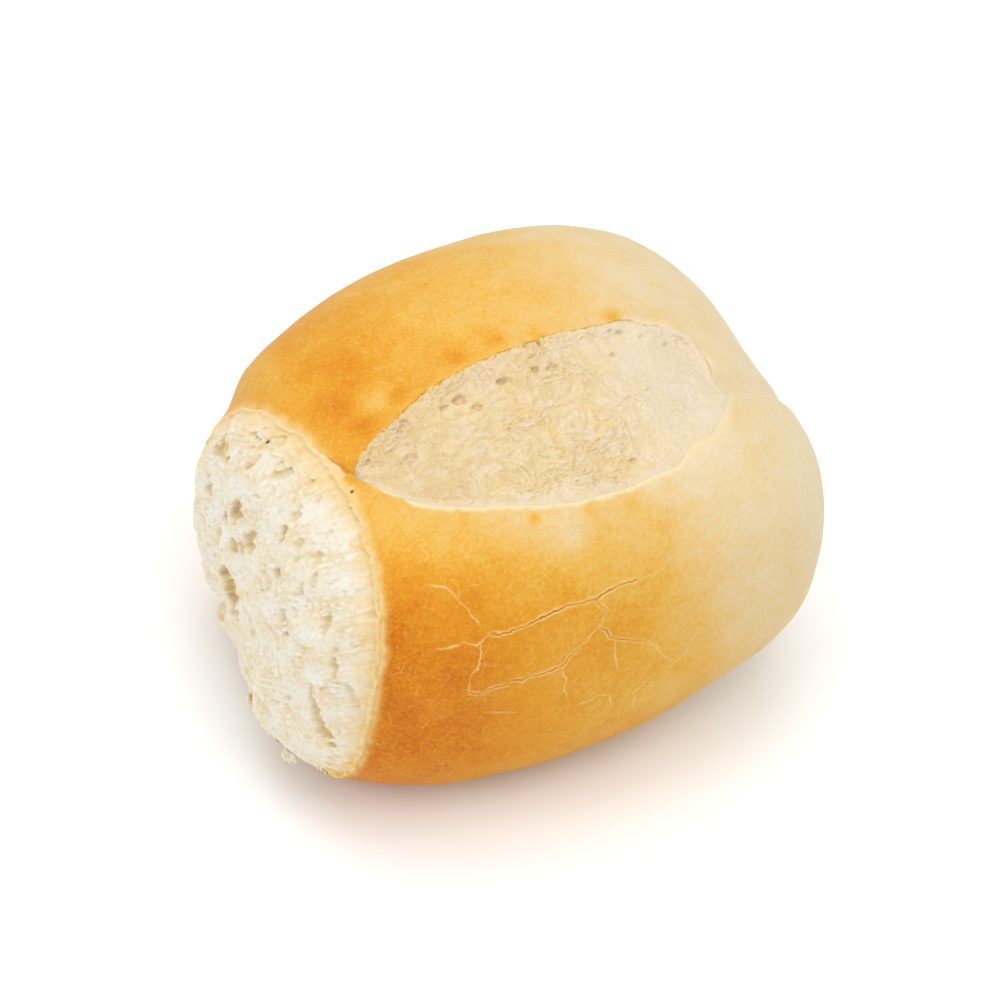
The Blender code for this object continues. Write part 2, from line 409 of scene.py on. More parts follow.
def close_shell(thing, steps):
    """Extrude the open edge by steps, each a share to draw it in by and a move, and close it."""
    shape = edit(thing)
    bpy.ops.mesh.select_mode(type="EDGE")
    for side in shape.edges:
        side.select = side.is_boundary
    for share, move in steps:
        bpy.ops.mesh.extrude_edges_move()
        if share < 1:
            bpy.ops.transform.resize(value=(1, share, share), center_override=tuple(SLICE_MIDDLE * MM))
        bpy.ops.transform.translate(value=tuple(length * MM for length in move))
    bpy.ops.mesh.edge_face_add()
    bpy.ops.mesh.select_all(action="SELECT")
    bpy.ops.mesh.normals_make_consistent(inside=False)
    close_edit(thing)


# %% [markdown]
# ## The crust
# The crust is the roll's baked skin: a thin shell, open at the torn end. It is modelled like the
# solid, from a cube whose sides are cut into a fine grid and rounded into the loaf. One side is
# left open, and the rows of the grid next to it are pulled so that the last row lies exactly on the
# broken edge. That is cleaner than cutting the mesh there, which would leave slivers.

# %% A cube with a fine grid and an open side
GRID_PASSES = (10, 9)  # loops that each pass adds, for (10 + 1) * (9 + 1) faces along a side

bpy.ops.mesh.primitive_cube_add(size=2.0)
crust = bpy.context.object
crust.name = "crust"
shape = edit(crust)
bpy.ops.mesh.select_mode(type="FACE")
for face in shape.faces:
    face.select = face.normal.x < -0.9
bpy.ops.mesh.delete(type="FACE")
bpy.ops.mesh.select_all(action="SELECT")
for cuts in GRID_PASSES:
    bpy.ops.mesh.subdivide(number_cuts=cuts)
close_edit(crust)

# %% [markdown]
# The grid is turned into directions, and each direction into a place on the skin. Between the
# middle and the open side the directions are drawn in, so that the open row meets the broken edge.
# A little raggedness is added to that row, because crust breaks in small steps.

# %% The grid rounded into a loaf
RAGGED = 0.40


def grid_directions(corners, turn_in):
    """Directions for grid places, with the rows towards the open side turned by a factor."""
    along = corners[:, 0] * np.where(corners[:, 0] < 0, turn_in, 1.0)
    return np.tan(np.stack([along, corners[:, 1], corners[:, 2]], axis=1) * math.pi / 4)


def meet_broken_edge(ring):
    """For places round the open side, the factor that brings them to the broken edge."""
    ragged = RAGGED * (wander(ring * 40, 3.5, 3.1) + 0.6 * wander(ring * 40, 1.6, 7.7))
    least, most = np.full(len(ring), 0.5), np.full(len(ring), 1.25)
    for _ in range(20):
        turn_in = (least + most) / 2
        edge = loaf_places(grid_directions(ring, turn_in))
        short = edge[:, 0] > broken_edge_x(edge[:, 1], edge[:, 2]) + ragged
        least = np.where(short, turn_in, least)
        most = np.where(short, most, turn_in)
    return turn_in, ragged


corners = read_places(crust) * MM
on_whole_end = corners[:, 0] > 0.9999
turn_in, _ = meet_broken_edge(np.column_stack([-np.ones(len(corners)), corners[:, 1:]]))
write_places(crust, loaf_places(grid_directions(corners, np.where(on_whole_end, 1.0, turn_in))))
rim = read_places(crust)[corners[:, 0] < -0.9999]
print("broken edge, mm: x", np.round([rim[:, 0].min(), rim[:, 0].max()], 1), "places", len(rim))

# %% [markdown]
# ## Cracks in the crust
# As the roll rose and cooled, its skin cracked along the front. Each crack is a broken line in X and
# Z, shaken by smooth noise, and the distance to the nearest line says how deep in it a place lies.

# %% Cracks in the crust
# Each crack: X and Z of its corners
DEEP_CRACKS = (
    ((-20.6, 43.5), (-18.1, 43.3), (-15.0, 43.8), (-12.8, 44.4), (-10.7, 44.7), (-8.2, 45.0),
     (-5.3, 44.9), (-3.2, 44.7), (-1.7, 45.1), (0.6, 45.6), (2.5, 45.8), (4.7, 45.5)),
    ((-24.7, 33.9), (-22.7, 33.5), (-21.7, 34.1), (-19.1, 34.3), (-18.3, 34.9), (-16.7, 34.3),
     (-14.6, 34.9), (-12.2, 35.0), (-10.0, 35.3), (-8.7, 36.7), (-7.0, 37.6)),
    ((-3.2, 44.7), (-2.7, 43.8), (-1.8, 42.6)),
    ((-3.2, 40.2), (-2.2, 39.0), (-1.6, 37.6), (0.2, 36.6), (2.4, 35.5), (4.6, 34.1)),
)
FAINT_CRACKS = (
    ((-29.2, 42.0), (-27.0, 42.3), (-24.7, 43.1), (-23.1, 42.0), (-20.6, 43.5)),
    ((4.7, 45.5), (7.3, 45.4), (9.0, 45.9), (11.0, 46.7)),
    ((-7.0, 37.6), (-5.3, 38.8), (-3.2, 40.2), (-2.5, 41.4), (-1.8, 42.6)),
    ((4.6, 34.1), (6.1, 32.7), (7.3, 31.5)),
    ((-22.1, 42.9), (-22.5, 41.3), (-23.3, 38.5), (-24.8, 36.4), (-25.1, 33.9)),
    ((-10.0, 34.9), (-9.6, 32.6), (-9.8, 30.3), (-9.4, 28.3)),
    ((3.0, 19.9), (2.4, 24.0), (4.1, 25.4), (4.7, 26.4)),
    ((8.6, 26.5), (10.1, 27.8), (11.6, 29.0), (12.9, 30.9), (14.2, 32.9)),
    ((-7.9, 26.2), (-5.7, 25.8), (-3.8, 26.4), (-2.0, 26.0), (-1.4, 22.8)),
    ((-22.9, 29.4), (-20.9, 28.6), (-19.2, 28.4), (-17.5, 27.6)),
    ((-0.8, 37.4), (-1.1, 35.0), (-0.6, 30.2)),
    ((5.7, 33.0), (7.7, 29.9), (9.3, 28.1)),
    ((-27.9, 50.5), (-25.2, 50.1), (-23.9, 48.5), (-22.8, 47.0), (-21.8, 44.8)),
)
CRACK_BAND = 0.8


def wiggle(places):
    """X and Z of places, shaken a little so that straight lines between them look broken."""
    shake = [0.30 * wander(places, 2.0, seed) + 0.22 * wander(places, 0.7, seed + 5) for seed in (1, 31)]
    return places[:, [0, 2]] + np.stack(shake, axis=1)


def to_lines(spot, cracks):
    """Distance to the nearest of some broken lines, and how far its ends still are."""
    nearest = np.full(len(spot), 99.0)
    run_out = np.full(len(spot), 0.0)
    for crack in cracks:
        points = np.array(crack)
        to_end = np.minimum(*[np.linalg.norm(spot - points[end], axis=1) for end in (0, -1)])
        for start, end in zip(points[:-1], points[1:]):
            run = end - start
            part = np.clip(((spot - start) @ run) / (run @ run), 0, 1)
            gap = np.linalg.norm(spot - start - part[:, None] * run, axis=1)
            run_out = np.where(gap < nearest, to_end, run_out)
            nearest = np.minimum(nearest, gap)
    return nearest, run_out


def to_cracks(places, cracks):
    nearest, run_out = to_lines(wiggle(places), cracks)
    return np.where(places[:, 1] < -20, nearest, 99.0), run_out


print("cracks:", len(DEEP_CRACKS), "deep,", len(FAINT_CRACKS), "faint")

# %% [markdown]
# ## Finer where it matters
# A sharp lip and a hairline crack need small faces, and the rest of the crust doesn't. The faces
# near the cut's outline and along the cracks are divided again, and the new corners are moved out
# onto the skin, which each face only spans.

# %% Faces divided near the cut and the cracks
# X and distance forward of a speck, and of the corners of the crease at the torn end
CRUST_SPECK = (-32.2, 3.4)
NEAR_CREASE = ((-33.8, -5.4), (-32.8, -4.2), (-32.3, -2.9), (-31.4, -1.0), (-30.6, 0.3))
CUT_BAND = 1.3
TIP_REACH = 1.5
CRACK_CORE = 0.3


def cut_sides(places):
    """Share along the cut, distances in from its back and front edges, and from its nearer tip."""
    height, forward = cut_place(places)
    drift_x, drift_forward = cut_drift(places[:, 0], forward)
    x = places[:, 0] + drift_x
    share = (x - CUT_START) / (CUT_END - CUT_START)
    half = cut_half_width(share)
    from_back = np.where(height < 0, -99.0, forward + drift_forward - cut_middle(share) + half)
    return share, from_back, 2.0 * half - from_back, np.minimum(x - CUT_START, CUT_END - x)


def refine(thing, near, cuts):
    """Divide the faces that touch chosen corners, and move the new corners out onto the skin."""
    shape = edit(thing)
    bpy.ops.mesh.select_mode(type="FACE")
    for face in shape.faces:
        face.select = any(near[vert.index] for vert in face.verts)
    bpy.ops.mesh.subdivide(number_cuts=cuts, ngon=False)
    close_edit(thing)
    middle = np.array([0, 0, WAIST])
    offsets = read_places(thing) - middle
    write_places(thing, middle + offsets / loaf_share(offsets + middle)[:, None])


skin = read_places(crust)
share, from_back, from_front, to_tip = cut_sides(skin)
cut_line = np.minimum(np.abs(from_back), np.abs(from_front)) < CUT_BAND
near_cut = cut_line & (to_tip > -TIP_REACH)
near_crack = to_cracks(skin, DEEP_CRACKS + FAINT_CRACKS)[0] < CRACK_BAND
height, forward = cut_place(skin)
near_crease = to_lines(np.column_stack([skin[:, 0], forward]), [NEAR_CREASE])[0] < CRACK_BAND
near_crease |= np.hypot(skin[:, 0] - CRUST_SPECK[0], forward - CRUST_SPECK[1]) < CRACK_BAND
near_crease &= height > 0
refine(crust, near_cut | near_crack | near_crease, 2)
near_crack = to_cracks(read_places(crust), DEEP_CRACKS + FAINT_CRACKS)[0] < CRACK_CORE
refine(crust, near_crack, 1)

# %% [markdown]
# ## The opened cut and the creases
# The cut opened in the oven, and the crust stands up as a lip beside it. Under the crumb in the cut
# the crust's mesh dips out of sight. Past each end the cut is closed and shows as a crease.

# %% The cut's dip and its creases
SINK = 1.2
LIP_STEP = 0.35
FRONT_STEP = 1.5
TIP_STEP = 1.5
CREASE_DEPTH = 1.8
CREASE_HALF_WIDTH = 2.2
CREASE_RUN = 4.0
WHOLE_CREASE_FORWARD = 3.8


def press_cut(places):
    """How deep the crust lies under the smooth skin along the cut."""
    share, from_back, from_front, to_tip = cut_sides(places)
    outside = np.maximum(np.maximum(-from_back, -from_front), 0)
    lip = LIP_HEIGHT * bell(outside, 0, LIP_SPREAD) * smooth(1 + from_back / LIP_SPREAD)
    lip *= smooth(1.4 - share)
    depth = smooth(from_back / LIP_STEP) * smooth(from_front / FRONT_STEP)
    within = (share > 0) & (share < 1)
    drop = (DISH_DEPTH + LIP_HEIGHT + SINK) * depth - lip
    return np.where(within, drop * smooth(to_tip / TIP_STEP), 0)


def press_crease(places):
    """How deep the closed cut is drawn in beyond its tips."""
    height, forward = cut_place(places)
    to_tip = np.minimum(places[:, 0] - CUT_START, CUT_END - places[:, 0])
    run = smooth((CREASE_RUN - to_tip) / CREASE_RUN)
    torn_side = places[:, 0] < 0
    line = np.where(torn_side, CUT_TIP_FORWARD + 1.5 * np.minimum(to_tip, 0), WHOLE_CREASE_FORWARD)
    fade = np.where(torn_side, 0.55 * smooth(1.25 + to_tip / CREASE_RUN),
                    smooth(np.arctan2(height, places[:, 0]) / math.radians(45)))
    depth = CREASE_DEPTH * run * fade * bell(forward, line, CREASE_HALF_WIDTH)
    return np.where(height > 0, depth, 0)


print("dip under the crumb, mm:", round(DISH_DEPTH + LIP_HEIGHT + SINK, 2))

# %% [markdown]
# ## Grooves and seams
# A deep crack is a narrow groove between edges that curl up and show paler dough, and shade is painted into
# the groove. A faint one is only a pale seam. Each fades at its ends, and here and there along its way.

# %% The cracks' relief
GROOVE_DEPTH = 0.13
CURL_HEIGHT = 0.10
SEAM_HEIGHT = 0.05


def press_cracks(places):
    """How deep the cracks' relief is, how much painted shade lies in its groove, and how pale a place in it
    is.
    """
    def fading(run_out, base, length, seed):
        return smooth((run_out + 0.6) / 2.0) * np.clip(base + 0.7 * wander(places, length, seed), 0, 1)

    gap, run_out = to_cracks(places, DEEP_CRACKS)
    strength = fading(run_out, 0.75, 2.5, 21.0)
    groove = GROOVE_DEPTH * bell(gap, 0, 0.10) - CURL_HEIGHT * bell(gap, 0.30, 0.18)
    faint_gap, faint_run_out = to_cracks(places, FAINT_CRACKS)
    seam = fading(faint_run_out, 0.85, 2.0, 25.0) * bell(faint_gap, 0, 0.13)
    pale = np.maximum(seam, strength * bell(gap, 0.28, 0.14))
    # Painted shade along the bottom of each deep groove.
    dark = np.clip(1.5 * strength - 0.6, 0, 1) * bell(gap, 0, 0.09)
    return strength * groove - SEAM_HEIGHT * seam, dark, pale


skin = read_places(crust)
crack_depth, crack_shade, crack_pale = press_cracks(skin)
print("cracks, mm: deepest and highest", np.round([crack_depth.max(), -crack_depth.min()], 2))

# %% [markdown]
# ## The crust pressed in
# All this relief is pressed in along the skin's own normals, together with low hills, a wide dent
# in the belly and a rounded broken edge. The back lip then leans forwards over the crumb a little.
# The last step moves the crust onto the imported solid, whose frame has its own origin.

# %% The crust pressed in along its normals
OVERHANG = 0.25
CREASE_GROOVE = 0.22
EDGE_ROUNDING = 0.15
BELLY_DENT = 1.3

height, forward = cut_place(skin)
crease_spot = np.column_stack([skin[:, 0], forward]) + 0.2 * crack_pale[:, None]
crease = bell(to_lines(crease_spot, [NEAR_CREASE])[0], 0, 0.22) * (height > 0)
# The crease at the torn end gets painted shade too.
crack_shade = np.maximum(crack_shade, 0.35 * crease)
edge_gap = skin[:, 0] - broken_edge_x(skin[:, 1], skin[:, 2])
pressed = press_cut(skin) + press_crease(skin) + crack_depth
pressed -= waves(skin, (0.35, 15.0, 0.0), (0.10, 5.0, 2.0), (0.035, 1.7, 4.0))
pressed += CREASE_GROOVE * crease + EDGE_ROUNDING * smooth(1 - edge_gap / 0.9)
pressed += BELLY_DENT * bell(skin[:, 0], 20, 11) * bell(skin[:, 2], 13, 9) * (skin[:, 1] < 0)
places = skin - read(crust.data.vertex_normals, "vector") * pressed[:, None]
share, from_back, from_front, to_tip = cut_sides(skin)
forwards = OVERHANG * smooth(1 + from_back / 1.2) * (from_back < LIP_STEP) * smooth(to_tip / 6.0)
forwards *= smooth((0.85 - share) / 0.2) * (0.7 + 0.6 * wander(skin, 3.0, 14.0))
places += np.outer(forwards, [0, -math.cos(CUT_LEAN), -math.sin(CUT_LEAN)])
places = nipped(places)
shift = np.array([roll_high[0] - places[:, 0].max(),
                  -(places[:, 1].max() + places[:, 1].min()) / 2, 0.0])
places[:, 2] = np.maximum(places[:, 2], 0.0)
write_places(crust, places + shift)
# The crack value is painted shade in the crack grooves and the crease.
paint(crust, "crack", np.clip(crack_shade, 0, 1))
paint(crust, "seam", np.clip(crack_pale, 0, 1))
print("crust, mm:", np.round(np.ptp(places, axis=0), 1), "moved by", np.round(shift, 2))

# %% [markdown]
# ## The broken edge
# Where the crust broke, its thickness shows. The open row is drawn inwards by that thickness and
# then back into the roll behind the crumb, where a last face closes the shell.

# %% The crust's thickness
CRUST_THICKNESS = 1.1
SLICE_RADIUS = 38
EDGE_LEAN = 0.25
TUCK = 5.0
TUCK_SHARE = 0.97

close_shell(crust, [(1 - CRUST_THICKNESS / SLICE_RADIUS, (EDGE_LEAN, 0, 0)), (TUCK_SHARE, (TUCK, 0, 0))])

# %% [markdown]
# ## The crumb of the torn end
# Torn crumb is a soft foam: a few large bubbles, many small ones, and wisps between them. A square
# grid is stretched over the broken edge, ring by ring, and will be pushed in and out.

# %% A grid stretched over the torn end
CRUMB_CELLS = 300
CRUMB_EDGE = 1.006


def add_grid(name, cells_x, cells_y):
    bpy.ops.mesh.primitive_grid_add(x_subdivisions=cells_x, y_subdivisions=cells_y, size=2.0)
    thing = bpy.context.object
    thing.name = name
    return thing, read_places(thing) * MM


def broken_edge(ring):
    """Places on the broken edge for places round the open side of the cube, and their raggedness."""
    turn_in, ragged = meet_broken_edge(ring)
    edge = loaf_places(grid_directions(ring, turn_in))
    edge[:, 2] = np.maximum(edge[:, 2], 0.0)
    return edge, ragged


torn_crumb, square = add_grid("torn_crumb", CRUMB_CELLS, CRUMB_CELLS)
out = np.maximum(np.abs(square[:, 0]), np.abs(square[:, 1]))
ring = square[:, :2] / np.maximum(out, 1e-6)[:, None]
ring = np.column_stack([-np.ones(len(ring)), -ring[:, 0], ring[:, 1]])
edge, ragged = broken_edge(ring)
edge = nipped(edge)
across = SLICE_MIDDLE + (edge - SLICE_MIDDLE) * (out * CRUMB_EDGE)[:, None]
y, z = across[:, 1], across[:, 2]
print("torn crumb, mm:", np.round([np.ptp(y), np.ptp(z)], 1))

# %% [markdown]
# ## Bubbles of many sizes
# The largest bubbles are placed one by one, as oval hollows with ragged walls. Smaller pits come
# from a Voronoi pattern, which scatters points and measures the distance to the nearest one. Both
# follow directions across and down the face, and the pits are stretched across it.

# %% Hollows and pits
# Each row: Y, Z, half size across and down the face, depth
HOLLOWS = (
    (13.8, 45.2, 3.4, 1.3, 1.6), (14.4, 37.2, 2.0, 1.0, 1.3), (3.2, 41.6, 2.1, 1.5, 2.0),
    (6.6, 37.6, 1.5, 0.8, 1.1), (7.4, 33.8, 1.6, 0.8, 1.0), (-2.6, 41.0, 1.8, 1.7, 2.2),
    (-1.2, 37.6, 0.9, 1.3, 1.3), (1.1, 36.7, 0.9, 1.1, 1.1), (3.7, 26.6, 2.6, 3.6, 2.6),
    (-13.5, 42.5, 1.2, 1.0, 1.4), (4.2, 52.0, 0.9, 1.6, 0.8), (2.5, 53.4, 1.1, 1.0, 0.9),
    (-1.2, 53.2, 1.2, 0.7, 0.9), (-2.6, 51.8, 1.6, 1.2, 1.0), (-10.8, 51.4, 0.7, 1.5, 1.0),
    (-11.0, 48.2, 1.0, 1.7, 1.4), (-14.7, 48.2, 0.9, 1.0, 0.9), (-21.4, 46.3, 0.6, 1.2, 0.8),
    (-19.7, 48.8, 0.8, 1.1, 0.7), (-12.2, 53.8, 0.3, 0.9, 0.5), (-18.0, 52.0, 0.3, 0.9, 0.5),
    (-17.4, 37.3, 0.9, 1.2, 0.9), (-19.8, 43.6, 0.6, 1.1, 0.8), (-27.1, 41.8, 0.7, 2.0, 1.1),
    (-31.0, 36.4, 0.5, 2.2, 1.0), (-30.0, 25.0, 0.9, 3.9, 1.6), (-34.2, 32.4, 0.5, 2.3, 0.9),
    (-23.3, 16.6, 0.5, 0.6, 0.7), (-23.5, 23.4, 0.7, 0.5, 0.6), (-13.8, 27.0, 1.0, 0.8, 0.6),
    (-8.0, 25.4, 0.8, 0.8, 0.6), (-6.0, 32.0, 1.2, 0.9, 0.7), (10.0, 30.0, 1.3, 1.0, 0.8),
    (20.0, 30.0, 1.6, 1.4, 1.2), (16.0, 22.0, 1.8, 2.4, 1.4), (24.0, 38.0, 1.2, 1.6, 1.0),
    (8.0, 16.0, 1.6, 1.2, 1.0), (-6.0, 15.0, 0.9, 1.2, 0.8), (22.0, 14.0, 1.5, 1.6, 1.2),
)
ACROSS_FACE = np.array([-0.83, 0.56])
DOWN_FACE = np.array([-0.40, -0.92])
ACROSS_STRETCH = 0.62
HOLLOW_DEPTH = 0.7  # share of a listed depth


def face_place(y, z):
    """Distances across and down the torn face for places on it."""
    return np.stack([y, z], axis=1) @ np.linalg.inv(np.column_stack([ACROSS_FACE, DOWN_FACE])).T


def pits(places, spacing, seed=0.0, fewest=0.25):
    """Round pits about a spacing apart, each with its own width: 1 in a middle, 0 outside."""
    depth = np.empty(len(places))
    for index, place in enumerate((places / spacing + seed).tolist()):
        distances, centres = noise.voronoi(place)
        width = fewest + 0.45 * (0.5 + 0.5 * noise.noise(centres[0] * 5.3))
        depth[index] = 1 - distances[0] / width
    return smooth(depth)


level = np.zeros(len(y))
wall = np.column_stack([level, y, z])
grain = np.column_stack([face_place(y, z) * np.array([ACROSS_STRETCH, 1]), level])
uneven = waves(grain, (0.8, 2.2, 5.0), (0.6, 1.0, 8.0), (0.3, 0.5, 8.0))
bubble = level
for middle_y, middle_z, half_across, half_down, depth in HOLLOWS:
    along = face_place(y - middle_y, z - middle_z)
    away = np.hypot(along[:, 0] / half_across, along[:, 1] / half_down) + uneven
    bubble = np.maximum(bubble, HOLLOW_DEPTH * depth * smooth((1.35 - away) / 0.8))
open_crumb = 0.3 + 0.7 * smooth(0.5 + 1.8 * wander(wall, 8.0, 3.0))
pit_large = pits(grain, 2.4, 1.0, 0.08) * smooth(0.35 + 1.6 * wander(wall, 7.0, 6.0))
pit_small = pits(grain, 1.15, 4.0, 0.15) * open_crumb
pit_fine = pits(grain, 0.6, 9.0, 0.15) * open_crumb
print("hollows:", len(HOLLOWS), "deepest, mm:", round(float(bubble.max()), 1))

# %% [markdown]
# ## The crumb pushed in and out
# Between the bubbles the crumb stands in soft tufts and thin wisps, and near the crust it is drawn
# into streaks that run along the rim. The whole face bulges, once more low at the front, and has
# two wide dents behind that.

# %% The crumb's relief
RIM_SHARE = 0.98
FACE_SWAY = 1.3
LOW_BULGE = 1.6
DENT = 1.2
RIM_RECESS = 0.10
FORWARD_SET = 0.25

inside = np.maximum(1 - (out / RIM_SHARE) ** BULGE_SQUARENESS, 0)
x = broken_edge_x(y, z) + ragged * out ** 8
x -= TEAR_BULGE * (1 + BULGE_LEAN * y / TEAR_HALF_WIDTH) * inside
x += FACE_SWAY * inside * wander(wall + np.array([7.0, 0, 0]), 6.0)
wisps = np.abs(wander(grain, 0.9, 12.0))
ring_way = np.arctan2(z - SLICE_MIDDLE[2], y) * 34
streaks = np.abs(wander(np.column_stack([out * 36 / 0.9, ring_way / 5, level]), 1.0, 3.3))
at_top = smooth((z - 44) / 8) * smooth((y + 16) / 8)
rim_zone = bell(out, 0.90, 0.06) * (0.25 + 0.75 * at_top)
rim_pits = pits(grain, 1.5, 7.0, 0.2) * rim_zone * at_top
tufts = 0.75 * np.abs(wander(grain, 3.4, 15.0)) + 0.32 * np.abs(wander(grain, 1.4, 18.0))
tufts *= 1 - 0.25 * smooth((out - 0.94) / 0.05)
x += bubble + 0.6 * pit_large + 0.36 * pit_small + 0.18 * pit_fine + rim_pits
x -= 0.14 * wisps + 0.7 * rim_zone * streaks + tufts
x -= LOW_BULGE * bell(y, -13, 12) * bell(z, 11, 8) * (1 - out ** 6)
x += DENT * (bell(y, 9, 5) * bell(z, 19, 4) + bell(y, -3, 6) * bell(z, 15, 6))
x += RIM_RECESS * smooth((out - 0.985) / 0.015) - FORWARD_SET
crumb_skin = np.column_stack([x, y, z]) + shift
write_places(torn_crumb, crumb_skin)
print("crumb bulges to X, mm:", round(float(crumb_skin[:, 0].min()), 1))

# %% [markdown]
# A material can't see how deep a place lies or how near the crust it is, so that is painted on: shade in
# the hollows, pits and grooves with patches of tint, the yellow near the crust, the golden bits low down
# and one dark speck. A sheet has no inside, so its open edge is then drawn back into the roll, out of sight
# behind the crust, and closed.

# %% The torn crumb painted and closed
CRUMB_TUCK = 3.0
CRUMB_TUCK_SHARE = 0.98
TORN_SPECK = (4.8, 52.8)

tint = smooth(0.5 + 1.4 * wander(grain, 3.5, 44.0))
# Painted shade in the bubbles, the pits and the grooves between streaks and wisps, with random patches of
# tint.
pit_shade_and_tint = 0.8 * smooth(bubble / 1.2) + 0.5 * pit_large + 0.4 * pit_small + 0.25 * pit_fine
pit_shade_and_tint += 0.8 * rim_pits + 0.35 * rim_zone * smooth(1 - 3.5 * streaks)
pit_shade_and_tint += 0.6 * tint * smooth(1 - 2.2 * wisps)
width = 0.08 + 0.06 * np.maximum(at_top, smooth((y - 8) / 14)) + 0.04 * wander(grain, 2.0, 53.0)
rim_paint = smooth((out - 1 + width) / width) * (0.8 + 0.3 * wander(grain, 1.0, 57.0))
bits = smooth(1.4 * wander(wall, 1.2, 27.0) + 0.3) * smooth((out - 0.88) / 0.08) * smooth((22 - z) / 8)
spot = face_place(y - TORN_SPECK[0], z - TORN_SPECK[1]) * np.array([0.75, 1])
paint(torn_crumb, "pit_shade_and_tint", np.clip(pit_shade_and_tint, 0, 1))
paint(torn_crumb, "rim", rim_paint * (1 - 0.1 * at_top))
paint(torn_crumb, "bits", np.clip(bits * 1.3, 0, 1))
paint(torn_crumb, "speck", smooth(1.6 - np.linalg.norm(spot, axis=1) / 0.22))
close_shell(torn_crumb, [(CRUMB_TUCK_SHARE, (CRUMB_TUCK, 0, 0))])

# %% [markdown]
# ## The crumb in the cut
# Where the cut opened, the dough's inside met the oven's heat and dried to a pale, wrinkled skin. It
# is a leaf-shaped grid laid at the dish's depth. Its edges run under the crust's lips.

# %% A leaf-shaped grid
CUT_CELLS_LONG = 420
CUT_CELLS_WIDE = 220
TUCK_UNDER = 1.0

cut_crumb, square = add_grid("cut_crumb", CUT_CELLS_LONG, CUT_CELLS_WIDE)
share = 0.002 + 0.996 * (square[:, 0] + 1) / 2
half = cut_half_width(share)
from_back = half - (half + TUCK_UNDER) * square[:, 1]
x = CUT_START + share * (CUT_END - CUT_START)
forward = cut_middle(share) - half + from_back
from_front = 2 * half - from_back
to_tip = np.minimum(x - CUT_START, CUT_END - x)
drift_x, drift_forward = cut_drift(x, forward)
x, forward = x - drift_x, forward - drift_forward
height = skin_height(x, forward)
slope = smooth(from_front / FRONT_RUN) * (0.12 + 0.88 * smooth((from_back + 0.3) / 4.5))
depth = DISH_DEPTH * slope * smooth(to_tip / END_RUN) - 0.05
depth += 1.2 * smooth(-from_back / 0.8) + 0.6 * smooth((0.3 - from_front) / 1.3)
depth += 0.9 * smooth(1 - to_tip / 1.2)
depth -= 0.30 * smooth((share - 0.6) / 0.2) * bell(from_back, 0.5, 1.5) * smooth(to_tip / 2)
flat = np.column_stack([x, forward, np.zeros(len(x))])
print("leaf, mm:", round(float(np.ptp(x)), 1), "x", round(float(np.ptp(forward)), 1))

# %% [markdown]
# ## Wrinkles, threads and pores
# The dried skin is folded in three sizes, with sharp creases between round swellings. Thin threads
# of dough cross it, and open pores and many small pits break it. It is livelier in some places
# than in others, and calmer towards the whole end.

# %% The leaf's wrinkles
# Each row: X, distance forward, radius, depth
PORES = (
    (-10.8, -4.9, 1.3, 0.7), (-13.4, -4.4, 0.8, 0.5), (-9.0, -2.3, 1.1, 0.6), (-3.1, -5.6, 1.0, 0.7),
    (2.8, -5.9, 0.8, 0.7), (5.4, -5.2, 1.3, 0.5), (-12.4, -9.0, 0.6, 0.4), (16.3, -4.9, 0.7, 0.6),
    (19.5, -9.0, 0.7, 0.7), (18.0, -9.5, 0.5, 0.6), (5.4, -10.2, 0.5, 0.5), (2.9, -10.4, 0.5, 0.4),
    (26.7, -5.5, 0.6, 0.4), (22.9, -7.4, 0.6, 0.4), (2.3, 17.2, 0.7, 0.4), (9.8, 15.2, 0.8, 0.5),
    (-20.4, -4.3, 0.9, 0.3), (-21.8, -3.0, 0.7, 0.3), (-22.2, 2.3, 1.5, 0.3), (-28.0, -0.5, 0.5, 0.4),
)


def fold(places, length, seed):
    """Sharp creases between round swellings, about a length apart: 0 in a crease, 1 on top."""
    return np.minimum(2.4 * np.abs(wander(places, length, seed)), 1.0)


bend = np.column_stack([wander(flat, 5.0, 2.0), wander(flat, 5.0, 9.0), np.zeros(len(x))])
bent = (flat + 1.8 * bend) * np.array([0.8, 1.15, 1.0])
lively = smooth(0.55 + 1.3 * wander(flat, 8.0, 13.0))
folds = 0.36 * fold(bent, 2.4, 1.0) + 0.34 * fold(bent, 1.1, 6.0) + 0.30 * fold(flat, 0.6, 11.0)
thread = 0.8 * smooth(1 - np.abs(wander(bent, 3.2, 17.0)) / 0.055)
thread *= smooth(0.3 + 2.0 * wander(flat, 5.0, 23.0))
thread = np.maximum(thread, 0.6 * smooth(1 - np.abs(wander(bent, 1.9, 37.0)) / 0.06) * lively)
small_pits = pits(flat, 0.9, 5.0, 0.10) * smooth(0.4 + 1.5 * wander(flat, 4.0, 8.0))
small_pits *= 0.4 + 0.6 * smooth((11 - from_back) / 6)
pore, pore_rim = np.zeros(len(x)), np.zeros(len(x))
torn_round = 0.55 * wander(flat, 0.9, 3.0)
for middle_x, middle_forward, radius, deep in PORES:
    away = np.hypot(x - middle_x, (forward - middle_forward) * 1.25) / (0.8 * radius) + torn_round
    pore = np.maximum(pore, deep * smooth((1.1 - away) / 0.5))
    # Each pore's rim is raised a little and, on its back side, carries a painted shadow.
    pore_rim = np.maximum(pore_rim, bell(away, 1.1, 0.25) * (forward < middle_forward))
print("pores:", len(PORES), "deepest fold:", round(float(1 - folds.min()), 2))

# %% [markdown]
# The wrinkles are added to the dish along the cut's own height, and fade towards its lips and tips. The
# same values then say where the skin is paler, where its threads lie, and where shade is painted into its
# creases and pores. A thin wall straight down and a last face make the leaf a closed piece too.

# %% The leaf's relief and paint
WHOLE_END_CALM = 0.35
LEAF_WALL = 1.0

